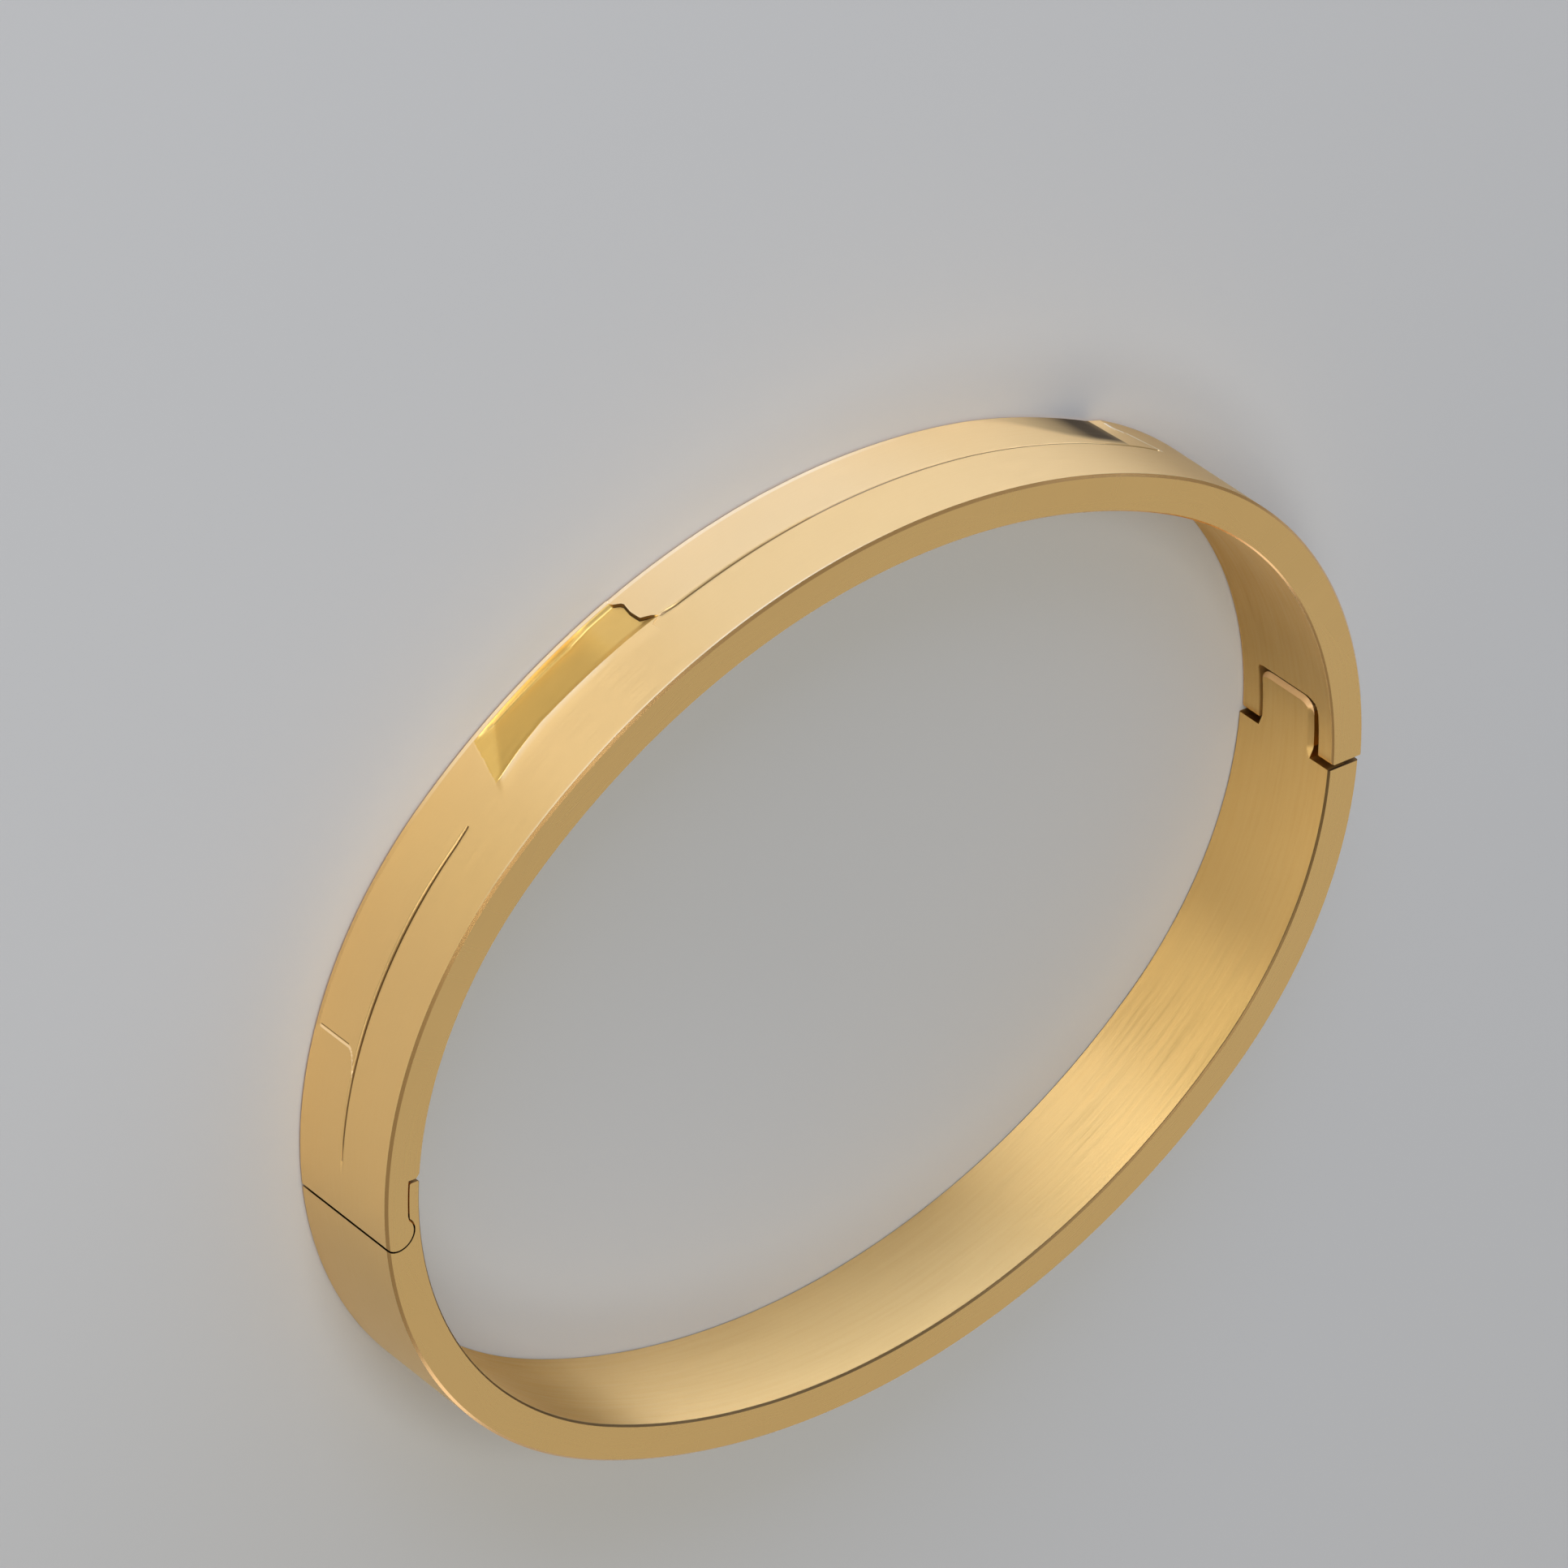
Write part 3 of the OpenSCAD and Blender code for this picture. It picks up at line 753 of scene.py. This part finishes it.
# Gold-tone steel with fine brush lines along the band, read from the piece's own map
def goldMaterial(name):
    look = goldLook[name]
    material = bpy.data.materials.new(name + "Gold")
    material.use_nodes = True
    tree = material.node_tree
    bandMap = tree.nodes.new("ShaderNodeUVMap")
    bandMap.uv_map = "bandMap"
    stretch = addNode(tree, "ShaderNodeMapping", {"Vector": bandMap.outputs[0],
                                                  "Scale": (*look["stretch"], 1)})
    lines = addNode(tree, "ShaderNodeTexNoise", {"Vector": stretch.outputs[0], "Scale": 1,
                                                 "Detail": goldGrain["lineDetail"],
                                                 "Roughness": goldGrain["lineRough"]})
    along = tree.nodes.new("ShaderNodeTangent")
    along.direction_type = "UV_MAP"
    along.uv_map = "bandMap"
    place = tree.nodes.new("ShaderNodeTexCoord")
    cloud = addNode(tree, "ShaderNodeTexNoise", {"Vector": place.outputs["Object"],
                                                 "Scale": goldGrain["cloudScale"]})
    colour = mixColours(tree, cloud.outputs["Fac"], look["colour"], look["pale"])
    # Painted shade pulls the colour towards the dark tone where shade is above zero, and a painted
    # highlight towards the pale tone where it is below
    if name in goldGrain["shaded"]:
        shade = tree.nodes.new("ShaderNodeAttribute")
        shade.attribute_name = "shade"
        for fullAt, tone in ((1, goldGrain["paintedShadeColour"]), (-1, goldGrain["paintedHighlightColour"])):
            amount = addNode(tree, "ShaderNodeMapRange", {"Value": shade.outputs["Fac"],
                                                          "From Max": fullAt})
            colour = mixColours(tree, amount.outputs[0], colour, tone)
    low, high = goldGrain["lineRange"]
    spread = addNode(tree, "ShaderNodeMapRange", {"Value": lines.outputs["Fac"], "From Min": low,
                                                  "From Max": high, "To Min": look["rough"][0],
                                                  "To Max": look["rough"][1]})
    bump = addNode(tree, "ShaderNodeBump", {"Height": lines.outputs["Fac"], "Strength": look["bump"],
                                            "Distance": goldGrain["bumpDepth"]})
    setInputs(tree.links, tree.nodes["Principled BSDF"], {
        "Metallic": look.get("metallic", 1), "Anisotropic": look["anisotropy"],
        "Anisotropic Rotation": goldGrain["turn"], "Tangent": along.outputs[0],
        "Base Color": colour, "Roughness": spread.outputs[0], "Normal": bump.outputs[0]})
    return material


pinLook = {"colour": (0.62, 0.6, 0.57), "rough": (0.22, 0.4), "grainScale": 4000}


def pinMaterial():
    material = bpy.data.materials.new("pinSteel")
    material.use_nodes = True
    tree = material.node_tree
    place = tree.nodes.new("ShaderNodeTexCoord")
    grain = addNode(tree, "ShaderNodeTexNoise", {"Vector": place.outputs["Object"],
                                                 "Scale": pinLook["grainScale"]})
    spread = addNode(tree, "ShaderNodeMapRange", {"Value": grain.outputs["Fac"],
                                                  "To Min": pinLook["rough"][0],
                                                  "To Max": pinLook["rough"][1]})
    setInputs(tree.links, tree.nodes["Principled BSDF"], {
        "Metallic": 1, "Base Color": (*pinLook["colour"], 1), "Roughness": spread.outputs[0]})
    return material


materials = [goldMaterial(name) for name in finishesAndPaintedLight]
tree = bendTree(materials)
print("materials and the bending tree are made")

upperLine = upperOutline()
upperRings = [upperRing(row, upperLine) for row in upperRows]
upperHalf = bentPiece("upperHalf", flatBar("upperFlat", upperRings, upperRows, upperLine, False), tree)
print("upper half is bent")

lowerLine = lowerOutline()
lowerRings = [lowerRing(row, lowerLine) for row in lowerRows]
lowerHalf = bentPiece("lowerHalf", flatBar("lowerFlat", lowerRings, lowerRows, lowerLine, True), tree)
print("lower half is bent")

# The knuckle turns on the pin and has an arm to the leaf; turns are clock angles about the pin
knuckle = {"radius": 0.48, "width": 2.4, "gap": 0.08, "boreRadius": 0.33, "armReach": 1.1,
           "turn": (90, 345.5), "sides": 24, "roomTurn": (80, 284), "roomSides": 20, "roomLean": 0.25}


# Straight prism over a polygon in the plane of the oval, with a hole of as many corners if one is given
def prism(outline, halfWidth, hole=None):
    bm = bmesh.new()
    rings = []
    for points in [outline] + ([hole] if hole else []):
        rings.append([[bm.verts.new((x * mm, y * mm, z * mm)) for x, y in points]
                      for z in (midHeight - halfWidth, midHeight + halfWidth)])
    for below, above in rings:
        for n in range(len(below)):
            m = (n + 1) % len(below)
            bm.faces.new([below[n], below[m], above[m], above[n]])
    if hole:
        for outer, inner in zip(*rings):
            for n in range(len(outer)):
                m = (n + 1) % len(outer)
                bm.faces.new([outer[n], outer[m], inner[m], inner[n]])
    else:
        bm.faces.new(rings[0][0])
        bm.faces.new(rings[0][1])
    bmesh.ops.recalc_face_normals(bm, faces=bm.faces[:])
    mesh = bpy.data.meshes.new("prism")
    bm.to_mesh(mesh)
    bm.free()
    return mesh


def besidePin(x, y):
    return pinPlace[0] + x, pinPlace[1] + y


def pinCircle(radius, turn, sides):
    clocks = [radians(turn[0] + (turn[1] - turn[0]) * n / sides) for n in range(sides + 1)]
    return [besidePin(radius * cos(clock), radius * sin(clock)) for clock in clocks]


def addKnuckle():
    radius, reach = knuckle["radius"], knuckle["armReach"]
    outer = pinCircle(radius, knuckle["turn"], knuckle["sides"])
    outer.append((pinPlace[0] + reach, outer[-1][1]))
    outer += [besidePin(back, radius) for back in (reach, radius, radius / 2)]
    hole = []
    for x, y in outer:
        away = atan2(y - pinPlace[1], x - pinPlace[0])
        hole.append(besidePin(knuckle["boreRadius"] * cos(away), knuckle["boreRadius"] * sin(away)))
    finished = prism(outer, knuckle["width"] / 2, hole)
    whole = bmesh.new()
    whole.from_mesh(lowerHalf.data)
    whole.from_mesh(finished)
    whole.to_mesh(lowerHalf.data)
    whole.free()
    bpy.data.meshes.remove(finished)


# Room for the knuckle, cut out of the skin of the upper half
def cutKnuckleRoom():
    gap, reach = knuckle["gap"], oval["thickness"]
    top = knuckle["radius"] + gap * 2
    widest = radians(frame["joints"][0]["range_deg"][1])
    outline = pinCircle(knuckle["radius"] + gap, knuckle["roomTurn"], knuckle["roomSides"])
    outline += [besidePin(reach * sin(widest) * knuckle["roomLean"], -reach), besidePin(reach, -reach),
                besidePin(reach, top), besidePin(gap, top)]
    cutter = bpy.data.objects.new("knuckleRoom", prism(outline, knuckle["width"] / 2 + gap))
    bpy.context.scene.collection.objects.link(cutter)
    cut = upperHalf.modifiers.new("room", "BOOLEAN")
    cut.object = cutter
    cut.solver = "EXACT"
    mesh = plainMesh(upperHalf, "upperHalf")
    upperHalf.modifiers.remove(cut)
    upperHalf.data = mesh
    bpy.data.objects.remove(cutter)


addKnuckle()
cutKnuckleRoom()
for piece, node, body in ((upperHalf, "upper_half", "upper"), (lowerHalf, "lower_half", "lower")):
    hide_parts(node)
    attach(piece, body)
    print(piece.name, "triangles", sum(len(p.vertices) - 2 for p in piece.data.polygons))
pin = frame["nodes"]["hinge_pin"]
for slot in pin.material_slots:
    slot.material = pinMaterial()

# The floor, the lights and the camera; the floor's size is in metres
studio = {"floorColour": (0.42, 0.42, 0.405), "floorRough": 0.75, "floorSize": 3, "floorCells": 8,
          "world": (0.24, 0.24, 0.24), "distance": 900, "aim": (0, 0, 4)}
# Each box: azimuth, elevation, width and height in degrees as the bangle sees them, brightness and tint
softboxes = [
    {"name": "window", "at": (50, 6.5), "spread": (72, 15), "bright": 8.3, "tint": (0.84, 1, 1.5)},
    {"name": "northWall", "at": (114, 6.5), "spread": (56, 15), "bright": 2.5, "tint": (1.05, 1, 0.78)},
    {"name": "westWall", "at": (178, 6.5), "spread": (72, 15), "bright": 2.5, "tint": (1.12, 1, 0.85)},
    {"name": "southWall", "at": (250, 4), "spread": (70, 12), "bright": 0.95, "tint": (0.95, 1, 1.25)},
    {"name": "gleam", "at": (100, 25), "spread": (30, 22), "bright": 3.7, "tint": (0.84, 1.02, 1.6)},
    {"name": "overhead", "at": (120, 64), "spread": (72, 15), "bright": 9.8, "tint": (1.02, 1, 0.97)},
    {"name": "leftTop", "at": (210, 64), "spread": (72, 15), "bright": 3.1, "tint": (1.02, 1, 0.97)},
    {"name": "backWall", "at": (305, 38), "spread": (60, 36), "bright": 0.31, "tint": (1.06, 1, 0.85)},
]
cameraLook = {"location": (-246.008, 359.724, 362.747), "turn": (-34.3236, -38.5861, -7.4124),
              "lens": 252.5, "sensor": 36, "nearest": 10}


def makeFloor():
    bm = bmesh.new()
    cells = studio["floorCells"]
    bmesh.ops.create_grid(bm, x_segments=cells, y_segments=cells, size=studio["floorSize"])
    mesh = bpy.data.meshes.new("floor")
    bm.to_mesh(mesh)
    bm.free()
    floor = bpy.data.objects.new("floor", mesh)
    bpy.context.scene.collection.objects.link(floor)
    material = bpy.data.materials.new("paleFloor")
    material.use_nodes = True
    tree = material.node_tree
    setInputs(tree.links, tree.nodes["Principled BSDF"], {
        "Base Color": (*studio["floorColour"], 1), "Roughness": studio["floorRough"]})
    mesh.materials.append(material)


def makeLights():
    world = bpy.data.worlds.new("studio")
    bpy.context.scene.world = world
    world.use_nodes = True
    back = world.node_tree.nodes["Background"]
    back.inputs["Color"].default_value = (*studio["world"], 1)
    aim = Vector(studio["aim"]) * mm
    distance = studio["distance"] * mm
    for box in softboxes:
        around, above = (radians(angle) for angle in box["at"])
        wide, tall = (2 * distance * tan(radians(angle) / 2) for angle in box["spread"])
        data = bpy.data.lights.new(box["name"], "AREA")
        data.shape = "RECTANGLE"
        data.size = wide * cos(above)
        data.size_y = tall
        data.energy = box["bright"] * pi * data.size * data.size_y
        data.color = box["tint"]
        light = bpy.data.objects.new(box["name"], data)
        direction = Vector((cos(around) * cos(above), sin(around) * cos(above), sin(above)))
        light.location = aim + direction * distance
        light.rotation_euler = direction.to_track_quat("Z", "Y").to_euler()
        bpy.context.scene.collection.objects.link(light)


def makeCamera():
    data = bpy.data.cameras.new("camera")
    data.lens = cameraLook["lens"]
    data.sensor_width = cameraLook["sensor"]
    data.clip_start = cameraLook["nearest"] * mm
    camera = bpy.data.objects.new("camera", data)
    camera.location = Vector(cameraLook["location"]) * mm
    camera.rotation_euler = Euler([radians(angle) for angle in cameraLook["turn"]], "XYZ")
    bpy.context.scene.collection.objects.link(camera)
    bpy.context.scene.camera = camera


makeFloor()
makeLights()
makeCamera()
bpy.context.scene.view_settings.view_transform = "Standard"
print("floor, lights and camera are set")
